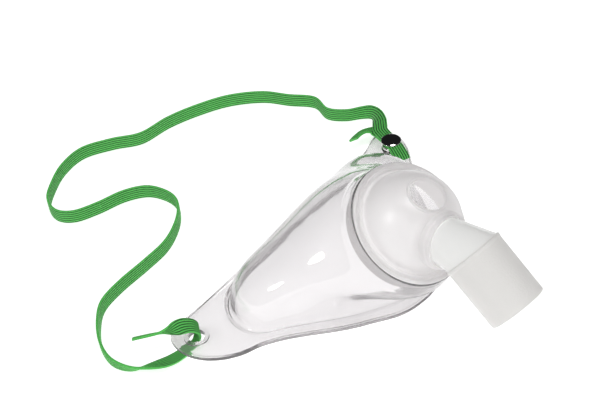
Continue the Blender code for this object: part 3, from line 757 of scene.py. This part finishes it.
sleeve_radius = SOCKET_RADIUS - 0.5
sleeve = [(bore_radius, -5.0), (sleeve_radius, -5.0), (sleeve_radius, 0.5), (bore_radius, 0.5)]
boolean(hood, turned("socket_sleeve", sleeve, ROUND, socket_place), 'UNION')
socket_bore = [(0, -9), (bore_radius, -9), (bore_radius, 6), (0, 6)]
boolean(hood, turned("socket_bore", socket_bore, ROUND, socket_place), 'DIFFERENCE')
port_bore = [(0, 13), (PORT_RADIUS, 13), (PORT_RADIUS, 26), (0, 26)]
boolean(hood, turned("port_bore", port_bore, ROUND, port_place), 'DIFFERENCE')
smooth(hood, 32)
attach(hood, "shield")
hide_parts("hood")

# ---------------------------------------------------------------- the swivel elbow
ROUND_PART = 3.5
BEND_RADIUS = 10.7
BEND_BORE = 8.7
BORE_END = 0.7
INSET = 0.01           # keeps the faces of joined solids from lying in one plane
SHOULDER_SLACK = 0.02  # faces this close below the shoulder count as the cone's
bend = (socket_place @ Vector((0, 0, TUBE_LENGTH * MM))) / MM
tube_dir = (socket_place.to_3x3() @ UP).normalized()
cone_dir = tilt.to_3x3() @ Vector((-0.109, -0.993, 0.037)).normalized()
cone_place = frame_at(bend, cone_dir)
bend_normal = tube_dir.cross(cone_dir).normalized()


def circle(centre, axis, radius):
    """Points round a circle that is square to the axis, all starting on one side of the bend."""
    across = axis.cross(bend_normal)
    points = []
    for k in range(ROUND):
        a = 2 * math.pi * k / ROUND
        points.append(centre + (bend_normal * math.cos(a) + across * math.sin(a)) * radius)
    return points


def loft(name, low, high, rows=10):
    """Closed solid between two circles that lie in different planes."""
    bm = bmesh.new()
    rings = [[bm.verts.new(p.lerp(q, r / rows) * MM) for p, q in zip(low, high)] for r in range(rows + 1)]
    for a, b in zip(rings, rings[1:]):
        for k in range(ROUND):
            n = (k + 1) % ROUND
            bm.faces.new((a[k], a[n], b[n], b[k]))
    bm.faces.new(list(reversed(rings[0])))
    bm.faces.new(rings[-1])
    return link_mesh(name, bm)


def bar(name, bottom, radius, top, where):
    """Plain round bar for cutting, between two heights."""
    return turned(name, [(0, bottom), (radius, bottom), (radius, top), (0, top)], ROUND, where)


tube_outline = rounded([(0, -6.6), (TUBE_RADIUS + 0.3, -6.6), (TUBE_RADIUS + 0.6, -6.0, 0.3),
                        (TUBE_RADIUS, -5.4, 0.2), (TUBE_RADIUS, ROUND_PART + 0.1), (0, ROUND_PART + 0.1)])
elbow = turned("swivel_elbow_piece", tube_outline, ROUND, socket_place, TUBE_PLASTIC, CONE_PLASTIC)
tube_end = circle(bend - tube_dir * (TUBE_LENGTH - ROUND_PART), tube_dir, TUBE_RADIUS - INSET)
shoulder = circle(bend + cone_dir * 0.25, cone_dir, BEND_RADIUS)
boolean(elbow, loft("bend_outer", tube_end, shoulder), 'UNION')
cone_outline = rounded([(0, 0), (CONE_BIG, 0, 0.45), (CONE_BIG, 1.2, 0.2), (CONE_BIG - 0.2, 1.4, 0.1),
                        (CONE_SMALL, CONE_LENGTH, 0.9), (0, CONE_LENGTH)])
boolean(elbow, turned("cone_blank", cone_outline, ROUND, cone_place), 'UNION')
tube_bore = TUBE_RADIUS - TUBE_WALL
boolean(elbow, bar("tube_bore", -9, tube_bore, BORE_END + 0.1, socket_place), 'DIFFERENCE')
bore_start = circle(bend - tube_dir * (TUBE_LENGTH - BORE_END), tube_dir, tube_bore - INSET)
bore_finish = circle(bend - cone_dir * 0.3, cone_dir, BEND_BORE)
boolean(elbow, loft("bend_inner", bore_start, bore_finish), 'DIFFERENCE')
boolean(elbow, bar("shoulder_bore", -0.35, BEND_BORE - INSET, CONE_WALL + 0.1, cone_place), 'DIFFERENCE')
cone_bore = bar("cone_bore", CONE_WALL, CONE_SMALL - CONE_WALL, CONE_LENGTH + 3, cone_place)
boolean(elbow, cone_bore, 'DIFFERENCE')
into_cone = cone_place.inverted()
for face in elbow.data.polygons:
    if (into_cone @ face.center).z > -SHOULDER_SLACK * MM:
        face.material_index = 1
smooth(elbow, 32)
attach(elbow, "elbow")
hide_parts("swivel_elbow")

# ---------------------------------------------------------------- the press stud
SNAP_RADIUS = 4.2
snap_place = Matrix.Translation(place((SNAP[0], SNAP[1], 0.0)))
STUD_PARTS = {
    "snap_post": ("shield", [(0, 0.8), (3.4, 0.8), (3.7, 1.1, 0.2), (3.7, 1.3, 0.1), (3.2, 1.6, 0.2),
                             (1.2, 1.6, 0.1), (1.2, 4.4, 0.15), (1.0, 4.7), (0, 4.7)]),
    "snap_stud": ("shield", [(1.5, 3.7), (3.8, 3.7, 0.1), (4.2, 3.85, 0.1), (4.2, 4.0, 0.1),
                             (3.8, 4.15, 0.2), (1.8, 4.15, 0.15), (1.8, 4.4, 0.1), (2.05, 4.7, 0.15),
                             (2.05, 5.0, 0.15), (1.7, 5.3, 0.1), (1.5, 5.3)]),
    "snap_socket": ("strap_snap", [(0, 5.6), (2.35, 5.6, 0.1), (2.35, 4.45, 0.1), (3.5, 4.45, 0.2),
                                   (3.8, 4.7, 0.2), (3.8, 5.6, 0.2), (3.5, 5.9, 0.2), (0, 5.9)]),
    "snap_cap": ("strap_snap", [(0, 6.2), (1.2, 6.2), (1.2, 8.0, 0.1), (SNAP_RADIUS - 0.1, 8.0, 0.1),
                                (SNAP_RADIUS + 0.1, 8.1, 0.1), (SNAP_RADIUS + 0.1, 8.3, 0.1),
                                (SNAP_RADIUS - 0.4, 8.6, 0.25), (2.4, 8.98, 0.6), (0, 9.1)]),
}
for name, (body, outline) in STUD_PARTS.items():
    piece = turned("metal_" + name, rounded(outline), SMALL_ROUND, snap_place, NICKEL)
    smooth(piece, 40)
    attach(piece, body)
    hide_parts(name)

# ---------------------------------------------------------------- floor, sky and lamps
FLOOR_HALF = 3.0
FLOOR_LEVEL = -0.0004    # just under the mask, so that the two never share a plane
floor_nodes = Nodes("studio_floor")
floor_nodes.set(Base_Color=(0.62, 0.62, 0.62, 1), Roughness=0.9)
floor_nodes.set(Emission_Color=(1, 1, 1, 1), Emission_Strength=0.82)
bm = bmesh.new()
floor_corners = ((-1, -1), (1, -1), (1, 1), (-1, 1))
bm.faces.new([bm.verts.new((x * FLOOR_HALF, y * FLOOR_HALF, FLOOR_LEVEL)) for x, y in floor_corners])
floor = link_mesh("studio_floor", bm, floor_nodes.material)

DARK_SIDE = (0.46, 0.40, 0.79)   # the dark end of the studio, up behind the mask
world = bpy.data.worlds.new("studio")
world.use_nodes = True
scene.world = world
sky = world.node_tree.nodes["Background"]
sky.inputs["Strength"].default_value = 0.26
sky_place = world.node_tree.nodes.new("ShaderNodeTexCoord")
sky_split = world.node_tree.nodes.new("ShaderNodeVectorMath")
sky_split.operation = 'DOT_PRODUCT'
sky_split.inputs[1].default_value = DARK_SIDE
sky_ramp = world.node_tree.nodes.new("ShaderNodeValToRGB")
sky_ramp.color_ramp.elements[0].position = 0.15
sky_ramp.color_ramp.elements[0].color = (1, 1, 1, 1)
sky_ramp.color_ramp.elements[1].position = 0.75
sky_ramp.color_ramp.elements[1].color = (0.05, 0.05, 0.055, 1)
world.node_tree.links.new(sky_place.outputs["Generated"], sky_split.inputs[0])
world.node_tree.links.new(sky_split.outputs["Value"], sky_ramp.inputs["Fac"])
world.node_tree.links.new(sky_ramp.outputs["Color"], sky.inputs["Color"])


def softbox(name, at, look, size, power, tall=None):
    """A soft lamp at one place in metres, aimed at another; power is in watts."""
    data = bpy.data.lights.new(name, 'AREA')
    data.shape = 'ELLIPSE'
    data.size = size
    data.size_y = tall or size
    data.energy = power
    lamp = bpy.data.objects.new(name, data)
    scene.collection.objects.link(lamp)
    lamp.location = at
    lamp.rotation_mode = 'QUATERNION'
    lamp.rotation_quaternion = (Vector(look) - Vector(at)).to_track_quat('-Z', 'Y')
    return lamp


TARGET = (0.0, 0.03, 0.02)
softbox("key_left", (-0.75, 0.35, 0.75), TARGET, 0.16, 2.2, 0.22)
softbox("top", (0.1, -0.1, 1.1), TARGET, 0.5, 4.6)
softbox("front_left", (-0.6, -0.8, 0.5), TARGET, 0.5, 1.9)
